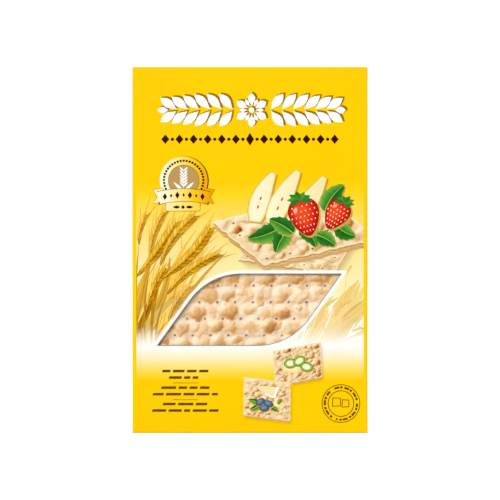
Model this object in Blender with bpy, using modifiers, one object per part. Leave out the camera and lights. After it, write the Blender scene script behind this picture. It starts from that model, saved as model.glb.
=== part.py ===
"""Upright folding carton of matzo with a leaf-shaped window in its front panel.

Metres, +Z up. The origin is the middle of the base, and the front panel faces -Y.
A clear pane closes the window from inside, and the first matzo sheet stands behind it.
"""

import math

import bmesh
import bpy
from mathutils import Matrix, Vector

# Carton, outside
WIDTH = 0.105
DEPTH = 0.050
HEIGHT = 0.1635
BOARD = 0.0005
CREASE_RADIUS = 0.0008
CREASE_SEGMENTS = 3
GAP = 0.0003
SHEET_CLEARANCE = 0.0006

# Outer end flaps, each one board thick on top of the folded body
FLAP_SIDE_INSET = 0.0008
FLAP_BACK_INSET = 0.0012
FLAP_ROOT = 0.0002

# Step along the back corner where the side panel is glued over its tab
SEAM_WIDTH = 0.0006
SEAM_DEPTH = 0.0004

# Window: a leaning parallelogram with two opposite corners swept round
WINDOW_X = -0.0003
WINDOW_Z = 0.0551
WINDOW_HEIGHT = 0.0324
WINDOW_EDGE = 0.0596
WINDOW_LEAN = 0.72
WINDOW_CORNER_RADIUS = 0.0285
WINDOW_ARC_SEGMENTS = 16

# Clear pane behind the window
PANE_THICKNESS = 0.0001
PANE_MARGIN = 0.005

# Matzo sheet: docked in rows, puffed between the holes
SHEET_WIDTH = 0.097
SHEET_HEIGHT = 0.154
SHEET_THICKNESS = 0.0015
DOCK_PITCH_X = 0.0080
DOCK_PITCH_Z = 0.0074
PUFF_HEIGHT = 0.0009
BLISTER_HEIGHT = 0.0007
BLISTER_PITCH_X = 0.0230
BLISTER_PITCH_Z = 0.0310
CELLS_PER_PITCH = 2

FRONT_Y = -DEPTH / 2
PANE_Y = FRONT_Y + BOARD + GAP
SHEET_FRONT_Y = PANE_Y + PANE_THICKNESS + GAP
SHEET_RELIEF = PUFF_HEIGHT + BLISTER_HEIGHT
SHEET_BACK_Y = SHEET_FRONT_Y + SHEET_RELIEF + SHEET_THICKNESS
POCKET_BACK_Y = SHEET_BACK_Y + GAP
SHEET_Z = HEIGHT / 2


def clear_scene():
    for old in list(bpy.data.objects):
        bpy.data.objects.remove(old, do_unlink=True)


def new_collection(name):
    collection = bpy.data.collections.new(name)
    bpy.context.scene.collection.children.link(collection)
    return collection


def move_to(obj, collection):
    for old in list(obj.users_collection):
        old.objects.unlink(obj)
    collection.objects.link(obj)


def principled(name, colour, roughness, alpha=1.0):
    material = bpy.data.materials.new(name)
    material.use_nodes = True
    shader = material.node_tree.nodes["Principled BSDF"]
    shader.inputs["Base Color"].default_value = (*colour, 1.0)
    shader.inputs["Roughness"].default_value = roughness
    shader.inputs["Metallic"].default_value = 0.0
    shader.inputs["Alpha"].default_value = alpha
    return material


def add_box(name, low, high, collection):
    """A box between two corners, with its size in the mesh and its middle as origin."""
    low = Vector(low)
    high = Vector(high)
    bpy.ops.mesh.primitive_cube_add(size=1.0, location=(low + high) / 2)
    box = bpy.context.object
    box.name = name
    box.data.transform(Matrix.Diagonal((*(high - low), 1.0)))
    move_to(box, collection)
    return box


def mark_as_tool(obj):
    obj.hide_render = True
    obj.display_type = "WIRE"


def add_boolean(target, tool, operation):
    mark_as_tool(tool)
    boolean = target.modifiers.new(tool.name, "BOOLEAN")
    boolean.operation = operation
    boolean.solver = "EXACT"
    boolean.object = tool


def fillet(corner, before, after, radius, segments):
    """Points of the arc that rounds a corner and touches both of its edges."""
    to_before = (before - corner).normalized()
    to_after = (after - corner).normalized()
    half_angle = to_before.angle(to_after) / 2
    middle = (to_before + to_after).normalized()
    centre = corner + middle * radius / math.sin(half_angle)
    start = corner + to_before * radius / math.tan(half_angle) - centre
    end = corner + to_after * radius / math.tan(half_angle) - centre
    sweep = start.angle_signed(end)
    return [
        centre + Matrix.Rotation(-sweep * step / segments, 2) @ start
        for step in range(segments + 1)
    ]


def window_outline():
    """Window outline about its own middle: right along +X, up along +Y."""
    top = WINDOW_HEIGHT / 2
    shift = WINDOW_LEAN * top
    half_edge = WINDOW_EDGE / 2
    low_left = Vector((-half_edge - shift, -top))
    low_right = Vector((half_edge - shift, -top))
    top_right = Vector((half_edge + shift, top))
    top_left = Vector((-half_edge + shift, top))
    outline = [low_left]
    outline += fillet(low_right, low_left, top_right, WINDOW_CORNER_RADIUS, WINDOW_ARC_SEGMENTS)
    outline += [top_right]
    outline += fillet(top_left, top_right, low_left, WINDOW_CORNER_RADIUS, WINDOW_ARC_SEGMENTS)
    return outline


def add_window_cutter(collection):
    """The window's outline as a prism from in front of the carton into the pocket."""
    front = FRONT_Y - BOARD
    back = SHEET_FRONT_Y + SHEET_RELIEF / 2
    curve = bpy.data.curves.new("window_outline", "CURVE")
    curve.dimensions = "2D"
    curve.fill_mode = "BOTH"
    curve.extrude = (back - front) / 2
    points = window_outline()
    spline = curve.splines.new("POLY")
    spline.points.add(len(points) - 1)
    for target, point in zip(spline.points, points):
        target.co = (point.x, point.y, 0.0, 1.0)
    spline.use_cyclic_u = True
    outline = bpy.data.objects.new("window_outline", curve)
    outline.rotation_euler = (math.pi / 2, 0.0, 0.0)
    outline.location = (WINDOW_X, (front + back) / 2, WINDOW_Z)
    collection.objects.link(outline)
    bpy.context.view_layer.update()

    evaluated = outline.evaluated_get(bpy.context.evaluated_depsgraph_get())
    mesh = bpy.data.meshes.new_from_object(evaluated)
    work = bmesh.new()
    work.from_mesh(mesh)
    bmesh.ops.remove_doubles(work, verts=work.verts, dist=0.00001)
    bmesh.ops.recalc_face_normals(work, faces=work.faces)
    work.to_mesh(mesh)
    work.free()
    cutter = bpy.data.objects.new("window_cutter", mesh)
    cutter.matrix_world = outline.matrix_world.copy()
    collection.objects.link(cutter)
    bpy.data.objects.remove(outline)
    return cutter


def add_end_flap(name, end_z, direction, collection):
    """An outer flap folded back from the front over one end; direction points out of it."""
    inner_z = end_z - direction * (BOARD + FLAP_ROOT)
    low = (-WIDTH / 2 + FLAP_SIDE_INSET, FRONT_Y + CREASE_RADIUS, min(inner_z, end_z))
    high = (WIDTH / 2 - FLAP_SIDE_INSET, DEPTH / 2 - FLAP_BACK_INSET, max(inner_z, end_z))
    return add_box(name, low, high, collection)


def build_carton(parts, tools):
    half_width = WIDTH / 2
    half_depth = DEPTH / 2
    carton = add_box(
        "carton",
        (-half_width, -half_depth, BOARD),
        (half_width, half_depth, HEIGHT - BOARD),
        parts,
    )
    crease = carton.modifiers.new("creases", "BEVEL")
    crease.width = CREASE_RADIUS
    crease.segments = CREASE_SEGMENTS

    add_boolean(carton, add_end_flap("top_flap", HEIGHT, 1, tools), "UNION")
    add_boolean(carton, add_end_flap("bottom_flap", 0.0, -1, tools), "UNION")

    seam = add_box(
        "seam_step",
        (half_width - SEAM_DEPTH, half_depth - SEAM_WIDTH, -BOARD),
        (half_width + BOARD, half_depth + BOARD, HEIGHT + BOARD),
        tools,
    )
    add_boolean(carton, seam, "DIFFERENCE")

    pocket_side = SHEET_WIDTH / 2 + SHEET_CLEARANCE
    pocket_end = SHEET_HEIGHT / 2 + SHEET_CLEARANCE
    pocket = add_box(
        "sheet_pocket",
        (-pocket_side, FRONT_Y + BOARD, SHEET_Z - pocket_end),
        (pocket_side, POCKET_BACK_Y, SHEET_Z + pocket_end),
        tools,
    )
    add_boolean(carton, pocket, "DIFFERENCE")
    add_boolean(carton, add_window_cutter(tools), "DIFFERENCE")
    carton.data.materials.append(principled("yellow_board", (1.0, 0.638, 0.0), 0.45))


def build_pane(parts):
    half_length = WINDOW_EDGE / 2 + WINDOW_LEAN * WINDOW_HEIGHT / 2 + PANE_MARGIN
    half_height = WINDOW_HEIGHT / 2 + PANE_MARGIN
    pane = add_box(
        "window_film",
        (WINDOW_X - half_length, PANE_Y, WINDOW_Z - half_height),
        (WINDOW_X + half_length, PANE_Y + PANE_THICKNESS, WINDOW_Z + half_height),
        parts,
    )
    pane.data.materials.append(principled("clear_film", (0.95, 0.96, 0.97), 0.08, alpha=0.15))


def sheet_rise(x, z):
    """How far the dough stands proud of the sheet's lowest skin, pinned at each docking hole."""
    puff_x = math.sin(math.pi * x / DOCK_PITCH_X) ** 2
    puff_z = math.sin(math.pi * z / DOCK_PITCH_Z) ** 2
    puff = (puff_x + puff_z) / 2
    wave = math.sin(math.tau * x / BLISTER_PITCH_X) * math.sin(math.tau * z / BLISTER_PITCH_Z)
    return PUFF_HEIGHT * puff + BLISTER_HEIGHT * max(0.0, wave) * puff


def build_sheet(parts):
    columns = round(SHEET_WIDTH / DOCK_PITCH_X * CELLS_PER_PITCH)
    rows = round(SHEET_HEIGHT / DOCK_PITCH_Z * CELLS_PER_PITCH)
    mesh = bpy.data.meshes.new("matzo_sheet")
    work = bmesh.new()
    bmesh.ops.create_grid(work, x_segments=columns, y_segments=rows, size=0.5)
    for vertex in work.verts:
        x = vertex.co.x * SHEET_WIDTH
        z = vertex.co.y * SHEET_HEIGHT
        vertex.co = (x, SHEET_RELIEF - sheet_rise(x, z), z)
    work.normal_update()
    work.to_mesh(mesh)
    work.free()
    sheet = bpy.data.objects.new("matzo_sheet", mesh)
    sheet.location = (0.0, SHEET_FRONT_Y, SHEET_Z)
    parts.objects.link(sheet)
    thickness = sheet.modifiers.new("thickness", "SOLIDIFY")
    thickness.thickness = SHEET_THICKNESS
    thickness.offset = -1.0
    mesh.shade_smooth()
    mesh.materials.append(principled("baked_dough", (0.80, 0.55, 0.31), 0.75))


clear_scene()
parts = new_collection("matzo_carton")
tools = new_collection("tools")
build_carton(parts, tools)
build_pane(parts)
build_sheet(parts)
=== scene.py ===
import math
import random

import bmesh
import bpy
from mathutils import Matrix, Vector, kdtree, noise


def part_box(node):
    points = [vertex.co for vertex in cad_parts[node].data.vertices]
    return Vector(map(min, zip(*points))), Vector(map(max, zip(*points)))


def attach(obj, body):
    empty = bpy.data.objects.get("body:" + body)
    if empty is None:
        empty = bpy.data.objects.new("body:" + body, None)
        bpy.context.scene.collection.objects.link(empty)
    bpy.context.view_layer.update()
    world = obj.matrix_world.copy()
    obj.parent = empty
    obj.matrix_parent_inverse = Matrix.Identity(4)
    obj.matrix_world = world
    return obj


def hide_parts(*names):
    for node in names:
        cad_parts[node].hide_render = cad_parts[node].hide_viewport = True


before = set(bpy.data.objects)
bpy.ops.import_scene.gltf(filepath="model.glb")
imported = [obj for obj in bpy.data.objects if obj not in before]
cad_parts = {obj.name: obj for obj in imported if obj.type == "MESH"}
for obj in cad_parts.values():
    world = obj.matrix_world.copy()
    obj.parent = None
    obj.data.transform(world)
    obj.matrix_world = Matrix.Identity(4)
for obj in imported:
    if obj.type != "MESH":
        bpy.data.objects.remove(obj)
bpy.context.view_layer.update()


# Carton. One die-cut blank of coated board, printed yellow outside and bare grey inside.
# It is creased and folded into a sleeve, glued along a back corner, and its end flaps are
# folded over each other and glued shut. A window is punched through the front panel.
MM = 0.001
carton_low, carton_high = map(Vector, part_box("carton"))
width, depth, height = carton_high - carton_low
half_width = width / 2
half_depth = depth / 2
board_thickness = 0.5 * MM
crease_radius = 0.6 * MM
crease_steps = 4
quarter_turn = math.pi / 2
BARE = 1
touching = 0.01 * MM

window_middle = Vector((-0.3, 55.1)) * MM
window_height = 32.4 * MM
window_edge = 59.6 * MM
window_lean = 0.72
window_corner_radius = 28.5 * MM
crushed_width = 0.34 * MM
crushed_depth = 0.12 * MM


def rectangle(left, low, right, high):
    return [Vector((left, low)), Vector((right, low)), Vector((right, high)), Vector((left, high))]


def rounded_outline(corners, radii, steps=12):
    """A closed outline with each corner swept round by its own radius; 0 keeps it sharp."""
    outline = []
    for index, (corner, radius) in enumerate(zip(corners, radii)):
        if radius == 0:
            outline.append(corner)
            continue
        to_before = (corners[index - 1] - corner).normalized()
        to_after = (corners[(index + 1) % len(corners)] - corner).normalized()
        half_angle = to_before.angle(to_after) / 2
        centre = corner + (to_before + to_after).normalized() * radius / math.sin(half_angle)
        start = corner + to_before * radius / math.tan(half_angle) - centre
        end = corner + to_after * radius / math.tan(half_angle) - centre
        sweep = start.angle_signed(end)
        for step in range(steps + 1):
            outline.append(centre + Matrix.Rotation(-sweep * step / steps, 2) @ start)
    return outline


def window_outline(grow=0.0, tip_radius=0.0, steps=24):
    """The punched window, or a copy of it that stands off by grow on every side."""
    top = window_height / 2 + grow
    half_edge = window_edge / 2 + grow * math.hypot(1, window_lean)
    shift = window_lean * top
    corners = [
        window_middle + Vector((side * half_edge + end * shift, end * top))
        for side, end in ((-1, -1), (1, -1), (1, 1), (-1, 1))
    ]
    sweep = window_corner_radius + grow
    return rounded_outline(corners, [tip_radius, sweep, tip_radius, sweep], steps)


def front_panel(point, out=0.0):
    """Where a point of the front panel's print lies; out is how far it stands proud."""
    return Vector((point[0], -half_depth - out, point[1]))


def closed_loop(work, points):
    verts = [work.verts.new(point) for point in points]
    return [work.edges.new(pair) for pair in zip(verts, verts[1:] + verts[:1])]


def of_kind(items, kind):
    return [item for item in items if isinstance(item, kind)]


def free_edges(work, **planes):
    """The board's open edges that lie in every one of the given planes, such as x=0.05."""
    return [
        edge
        for edge in work.edges
        if edge.is_boundary
        and all(
            abs(getattr(vert.co, axis) - place) < touching
            for vert in edge.verts
            for axis, place in planes.items()
        )
    ]


def fold(work, edges, centre, axis, angle):
    """Bends the board on from these edges round a crease, and returns its new free edges."""
    turned = bmesh.ops.spin(
        work, geom=edges, cent=centre, axis=axis, angle=angle, steps=crease_steps, use_duplicate=False
    )
    return of_kind(turned["geom_last"], bmesh.types.BMEdge)


def run_on(work, edges, step):
    """Carries the board straight on from these edges, and returns its new free edges."""
    made = bmesh.ops.extrude_edge_only(work, edges=edges)["geom"]
    verts = of_kind(made, bmesh.types.BMVert)
    bmesh.ops.translate(work, vec=step, verts=verts)
    return [edge for edge in of_kind(made, bmesh.types.BMEdge) if set(verts).issuperset(edge.verts)]


def display(red, green, blue):
    """A colour given as it looks on a display, 0 to 255, as the shader wants it."""
    levels = [level / 255 for level in (red, green, blue)]
    return (*[l / 12.92 if l <= 0.04045 else ((l + 0.055) / 1.055) ** 2.4 for l in levels], 1.0)


flap_gap = 0.03 * MM
flap_step = board_thickness + flap_gap
flat_ends = {1: height - 2 * flap_step - crease_radius, -1: 2 * flap_step + crease_radius}
panel_side = half_width - crease_radius
seam_inset = 0.6 * MM
tab_width = 12 * MM
outer_flap_inset = 1.2 * MM
outer_flap_flare = 0.57 * MM
flare_rise = 0.12 * MM
inner_flap_length = 45 * MM
dust_flap_length = 38 * MM

blank = bmesh.new()
panel_outline = rectangle(-panel_side, flat_ends[-1], panel_side, flat_ends[1])
panel_loop = closed_loop(blank, [front_panel(corner) for corner in panel_outline])
window_loop = closed_loop(blank, [front_panel(point) for point in window_outline()])
crushed_loop = closed_loop(
    blank, [front_panel(point, -crushed_depth) for point in window_outline(-crushed_width)]
)
bmesh.ops.triangle_fill(blank, use_beauty=True, edges=panel_loop + window_loop)
for face in bmesh.ops.bridge_loops(blank, edges=window_loop + crushed_loop)["faces"]:
    face.material_index = BARE

upright = (0, 0, 1)
across = (1, 0, 0)
inward = (0, 1, 0)
near_y = -half_depth + crease_radius
far_y = half_depth - crease_radius

right_edge = free_edges(blank, x=panel_side, y=-half_depth)
right_edge = fold(blank, right_edge, (panel_side, near_y, 0), upright, quarter_turn)
run_on(blank, right_edge, (0, depth - crease_radius - seam_inset, 0))

left_edge = free_edges(blank, x=-panel_side, y=-half_depth)
left_edge = fold(blank, left_edge, (-panel_side, near_y, 0), upright, -quarter_turn)
left_edge = run_on(blank, left_edge, (0, depth - 2 * crease_radius, 0))
left_edge = fold(blank, left_edge, (-panel_side, far_y, 0), upright, -quarter_turn)
back_edge = run_on(blank, left_edge, (2 * panel_side - flap_step, 0, 0))
tab_edge = fold(blank, back_edge, (panel_side - flap_step, far_y, 0), upright, -quarter_turn)
run_on(blank, tab_edge, (0, -tab_width, 0))

for end, flat in flat_ends.items():
    back_edge = run_on(blank, free_edges(blank, y=half_depth, z=flat), (0, 0, end * flap_step))
    crease = (0, far_y, flat + end * flap_step)
    back_edge = fold(blank, back_edge, crease, across, end * quarter_turn)
    run_on(blank, back_edge, (0, -inner_flap_length, 0))

    front_edge = run_on(blank, free_edges(blank, y=-half_depth, z=flat), (0, 0, end * flare_rise))
    for vert in {vert for edge in front_edge for vert in edge.verts}:
        vert.co.x += math.copysign(outer_flap_flare, vert.co.x)
    front_edge = run_on(blank, front_edge, (0, 0, end * (2 * flap_step - flare_rise)))
    crease = (0, near_y, flat + end * 2 * flap_step)
    front_edge = fold(blank, front_edge, crease, across, -end * quarter_turn)
    run_on(blank, front_edge, (0, depth - crease_radius - outer_flap_inset, 0))

    for side in (1, -1):
        side_edge = free_edges(blank, x=side * half_width, z=flat)
        crease = (side * panel_side, 0, flat)
        side_edge = fold(blank, side_edge, crease, inward, -side * end * quarter_turn)
        run_on(blank, side_edge, (-side * dust_flap_length, 0, 0))

bmesh.ops.remove_doubles(blank, verts=blank.verts, dist=0.1 * touching)
bmesh.ops.recalc_face_normals(blank, faces=blank.faces)
front_faces = [face for face in blank.faces if abs(face.calc_center_median().y + half_depth) < touching]
if front_faces[0].normal.y > 0:
    bmesh.ops.reverse_faces(blank, faces=blank.faces)


def add_piece(name, work, materials):
    """Makes a finished bmesh into an object with its materials."""
    mesh = bpy.data.meshes.new(name)
    work.to_mesh(mesh)
    work.free()
    for material in materials:
        mesh.materials.append(material)
    piece = bpy.data.objects.new(name, mesh)
    bpy.context.scene.collection.objects.link(piece)
    return piece


yellow = display(255, 207, 0)
panel_fade = [
    (23.7, 255, 207, 0),
    (27.3, 255, 220, 71),
    (30.9, 255, 233, 149),
    (34.4, 255, 244, 205),
    (38.5, 254, 253, 250),
    (45.1, 255, 253, 238),
    (56.0, 255, 244, 196),
    (67.0, 255, 242, 184),
    (88.0, 252, 227, 128),
    (100.5, 253, 219, 74),
    (106.0, 254, 215, 32),
    (112.0, 255, 207, 0),
]
side_strip = 1.8 * MM


def new_material(name, roughness):
    material = bpy.data.materials.new(name)
    material.use_nodes = True
    shader = material.node_tree.nodes["Principled BSDF"]
    shader.inputs["Roughness"].default_value = roughness
    return material, material.node_tree, shader


def feed(tree, sockets, values):
    """Gives each socket its value: a number, a colour or another node's output."""
    for socket, value in zip(sockets, values):
        if isinstance(value, bpy.types.NodeSocket):
            tree.links.new(value, socket)
        else:
            socket.default_value = value


def add_math(tree, operation, *values, clamp=False):
    node = tree.nodes.new("ShaderNodeMath")
    node.operation = operation
    node.use_clamp = clamp
    feed(tree, node.inputs, values)
    return node.outputs[0]


def add_mix(tree, factor, first, second, blend="MIX"):
    node = tree.nodes.new("ShaderNodeMix")
    node.data_type = "RGBA"
    node.blend_type = blend
    feed(tree, [node.inputs[place] for place in (0, 6, 7)], (factor, first, second))
    return node.outputs[2]


def add_ramp(tree, factor, stops):
    """A ramp of colours; each stop is its place on the ramp, then red, green and blue."""
    node = tree.nodes.new("ShaderNodeValToRGB")
    tree.links.new(factor, node.inputs[0])
    points = node.color_ramp.elements
    for extra in range(len(stops) - 2):
        points.new(0.5)
    for point, (place, *levels) in zip(points, stops):
        point.position = place
        point.color = display(*levels)
    return node.outputs[0]


def add_noise(tree, scale, detail=3.0, roughness=0.5):
    """Noise over the object's own coordinates; scale is in cycles for each metre."""
    place = tree.nodes.new("ShaderNodeTexCoord")
    node = tree.nodes.new("ShaderNodeTexNoise")
    node.inputs["Scale"].default_value = scale
    node.inputs["Detail"].default_value = detail
    node.inputs["Roughness"].default_value = roughness
    tree.links.new(place.outputs["Object"], node.inputs["Vector"])
    return node.outputs[0]


def add_bump(tree, shader, bump_height, distance, strength=1.0):
    node = tree.nodes.new("ShaderNodeBump")
    node.inputs["Distance"].default_value = distance
    node.inputs["Strength"].default_value = strength
    tree.links.new(bump_height, node.inputs["Height"])
    tree.links.new(node.outputs[0], shader.inputs["Normal"])


def object_axes(tree):
    place = tree.nodes.new("ShaderNodeTexCoord")
    split = tree.nodes.new("ShaderNodeSeparateXYZ")
    tree.links.new(place.outputs["Object"], split.inputs[0])
    return split.outputs


def panel_colour(tree):
    """The print's ground: yellow at both ends, fading through cream to white round the window."""
    stops = [(level * MM / height, *colour) for level, *colour in panel_fade]
    return add_ramp(tree, add_math(tree, "DIVIDE", object_axes(tree)["Z"], height), stops)


def satin_varnish(tree, shader):
    """The even, faintly fibrous sheen that varnish gives to coated board."""
    shader.inputs["Specular IOR Level"].default_value = 0.03
    sheen = add_math(tree, "MULTIPLY_ADD", add_noise(tree, 90.0), 0.10, 0.40)
    tree.links.new(sheen, shader.inputs["Roughness"])
    add_bump(tree, shader, add_noise(tree, 2200.0, 4.0, 0.6), 0.012 * MM, 0.35)


yellow_board, tree, shader = new_material("yellow_board", 0.45)
x, y = object_axes(tree)[:2]
inside_strips = add_math(tree, "LESS_THAN", add_math(tree, "ABSOLUTE", x), half_width - side_strip)
on_broad_panel = add_math(tree, "GREATER_THAN", add_math(tree, "ABSOLUTE", y), half_depth - 0.1 * MM)
faded = add_math(tree, "MULTIPLY", inside_strips, on_broad_panel)
ground = add_mix(tree, faded, yellow, panel_colour(tree))
mottle = add_ramp(tree, add_noise(tree, 60.0), [(0.3, 250, 250, 250), (0.7, 255, 255, 255)])
tree.links.new(add_mix(tree, 1.0, ground, mottle, "MULTIPLY"), shader.inputs["Base Color"])
satin_varnish(tree, shader)

bare_board, tree, shader = new_material("bare_board", 0.85)
fibre = add_noise(tree, 1400.0, 5.0, 0.7)
pulp = add_ramp(tree, fibre, [(0.3, 140, 126, 104), (0.7, 172, 158, 134)])
tree.links.new(pulp, shader.inputs["Base Color"])
add_bump(tree, shader, fibre, 0.03 * MM, 0.5)

carton = add_piece("carton_board", blank, [yellow_board, bare_board])
thickness = carton.modifiers.new("board", "SOLIDIFY")
thickness.thickness = board_thickness
thickness.offset = -1.0
thickness.use_even_offset = True
thickness.material_offset = BARE
thickness.material_offset_rim = BARE
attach(carton, "root")
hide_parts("carton")


# Window film. A clear pane of thin film, glued to the back of the front panel round the window,
# so it is very slightly slack and wavy.
film_low, film_high = map(Vector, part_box("window_film"))
film_thickness = 0.05 * MM
film_wave = 0.10 * MM
film_waves = (45, 70)
film_cells = (60, 28)
work = bmesh.new()
bmesh.ops.create_grid(work, x_segments=film_cells[0], y_segments=film_cells[1], size=0.5)
for vert in work.verts:
    x = (film_low.x + film_high.x) / 2 + vert.co.x * (film_high.x - film_low.x)
    z = (film_low.z + film_high.z) / 2 + vert.co.y * (film_high.z - film_low.z)
    ripple = noise.noise(Vector((x * film_waves[0], z * film_waves[1], 3.0)))
    vert.co = (x, (film_low.y + film_high.y) / 2 + film_wave * ripple, z)
work.normal_update()
bmesh.ops.solidify(work, geom=work.faces, thickness=film_thickness)
bmesh.ops.recalc_face_normals(work, faces=work.faces)
for face in work.faces:
    face.smooth = True

clear_film, tree, shader = new_material("clear_film", 0.06)
tree.nodes.remove(shader)
glossy = tree.nodes.new("ShaderNodeBsdfAnisotropic")
glossy.inputs["Roughness"].default_value = 0.08
see_through = tree.nodes.new("ShaderNodeBsdfTransparent")
see_through.inputs[0].default_value = (0.99, 0.99, 0.99, 1.0)
glance = tree.nodes.new("ShaderNodeLayerWeight").outputs["Facing"]
gleam = add_math(tree, "MULTIPLY_ADD", add_math(tree, "POWER", glance, 5.0), 0.5, 0.015)
layered = tree.nodes.new("ShaderNodeMixShader")
feed(tree, layered.inputs, (gleam, see_through.outputs[0], glossy.outputs[0]))
tree.links.new(layered.outputs[0], tree.nodes["Material Output"].inputs["Surface"])
film = add_piece("film_pane", work, [clear_film])
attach(film, "root")
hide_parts("window_film")


# Matzo sheet. Flour-and-water dough rolled thin, docked in rows so that it can't rise as one,
# and baked hot: it puffs between the holes, and its highest blisters toast. Their toast colour
# is pushed to each blister's lower right, away from the key light, so it is part real toast and
# part painted shade; the creases and docking holes are darkened with painted shade. The mesh
# is fine only in the window's band, because the board hides the rest.
sheet_low, sheet_high = map(Vector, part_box("matzo_sheet"))
sheet_middle = (sheet_low + sheet_high) / 2
sheet_width = 97 * MM
sheet_height = 154 * MM
sheet_relief = 2.7 * MM
dock_pitch = Vector((8.0, 7.4)) * MM
dock_row_level = 65.65 * MM
dock_shift = 3.9 * MM
dock_slip = 2.8 * MM
slip_rows = 5.6
hole_radius = 0.42 * MM
hole_rim = 0.85 * MM
hole_rim_width = 0.32 * MM
pinned_radius = 1.3 * MM
rim_rise_width = 3.5 * MM
fine_cell = 0.30 * MM
coarse_cell = 2.2 * MM
baking = random.Random(14)
noise.seed_set(8)


def dock_row_slip(row):
    """How far a row of holes has slipped sideways with the stretch of the dough."""
    return dock_shift - dock_slip * math.cos(math.tau * (row + 0.6) / slip_rows)


def dock_hole(row, column):
    return Vector((dock_row_slip(row) + column * dock_pitch.x, dock_row_level + row * dock_pitch.y))


# Middle across and up, half width, half height, rise and toasting of the most swollen blisters.
swollen = [
    (13.2, 53.8, 6.6, 3.3, 1.0, 0.95),
    (8.0, 47.6, 4.6, 3.9, 1.0, 1.0),
    (-14.8, 47.8, 3.9, 3.6, 1.0, 0.75),
    (-22.9, 53.6, 4.3, 4.0, 1.0, 0.85),
    (-31.2, 46.0, 4.4, 3.0, 0.9, 0.70),
    (-8.4, 47.6, 3.0, 3.7, 0.9, 0.80),
    (-11.6, 54.6, 3.6, 3.4, 0.95, 0.75),
    (-0.8, 55.0, 3.6, 3.2, 0.8, 0.55),
    (4.8, 58.0, 2.8, 2.4, 0.8, 0.55),
    (21.6, 55.8, 2.0, 1.9, 0.8, 0.60),
    (-10.0, 68.3, 3.8, 3.4, 0.8, 0.50),
    (9.2, 69.6, 3.7, 3.0, 0.9, 0.85),
    (19.8, 69.0, 4.2, 3.2, 0.95, 0.85),
    (29.2, 69.2, 4.2, 2.7, 0.95, 0.85),
    (4.4, 63.0, 3.2, 3.4, 0.8, 0.30),
    (14.0, 61.6, 4.8, 3.9, 0.85, 0.28),
    (23.0, 61.2, 5.4, 3.3, 0.9, 0.38),
    (-18.8, 60.0, 3.4, 2.9, 0.8, 0.55),
    (-18.6, 66.4, 3.6, 3.0, 0.8, 0.65),
    (19.4, 45.6, 3.2, 2.8, 0.9, 0.85),
    (-21.2, 45.4, 2.8, 2.9, 0.8, 0.50),
    (-30.6, 40.0, 5.2, 2.8, 0.9, 0.85),
    (-38.0, 41.2, 3.6, 3.2, 0.9, 0.85),
    (-17.0, 53.6, 2.8, 2.6, 0.75, 0.45),
    (1.4, 47.4, 3.0, 2.4, 0.75, 0.40),
    (-12.0, 40.0, 4.0, 2.6, 0.8, 0.45),
    (-4.0, 62.4, 4.4, 3.6, 0.8, 0.12),
    (-12.4, 62.0, 3.4, 3.6, 0.8, 0.15),
    (0.2, 69.0, 4.0, 2.8, 0.7, 0.30),
]
blisters = {}
for row in range(-10, 13):
    for column in range(-9, 9):
        cell_middle = (dock_hole(row, column) + dock_hole(row + 1, column + 1)) / 2
        blisters[row, column] = []
        for size in (1.0, 0.8, 0.62):
            slip = Vector((baking.uniform(-2.8, 2.8), baking.uniform(-2.2, 2.2))) * MM * (1.5 - size)
            reach = Vector((baking.uniform(4.4, 6.0), baking.uniform(3.8, 5.0))) * MM * size
            toast = baking.uniform(0.05, 0.45) if baking.random() < 0.72 else baking.uniform(0.5, 0.95)
            blisters[row, column].append((cell_middle + slip, reach, baking.uniform(0.35, 0.75), toast))
for x, z, half_wide, half_tall, rise, toast in swollen:
    row = math.floor((z * MM - dock_row_level) / dock_pitch.y)
    column = math.floor((x * MM - dock_row_slip(row)) / dock_pitch.x)
    blisters[row, column].append((Vector((x, z)) * MM, Vector((half_wide, half_tall)) * MM, rise, toast))


def spread(low_end, fine_low, fine_high, high_end):
    """Grid lines on one axis: coarse up to the fine stretch, fine in it, and coarse again."""
    lines = []
    place = low_end
    while place < high_end - coarse_cell / 2:
        lines.append(place)
        place += fine_cell if fine_low <= place < fine_high else coarse_cell
    return lines + [high_end]


def smooth_between(value, start, end):
    share = min(max((value - start) / (end - start), 0.0), 1.0)
    return share * share * (3 - 2 * share)


rim_corners = window_outline()
rim_steps = 20
window_rim = kdtree.KDTree(len(rim_corners) * rim_steps)
for start, end in zip(rim_corners, rim_corners[1:] + rim_corners[:1]):
    for step in range(rim_steps):
        window_rim.insert((*start.lerp(end, step / rim_steps), 0.0), step)
window_rim.balance()


def bell(distance, width):
    return math.exp(-((distance / width) ** 2))


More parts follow.
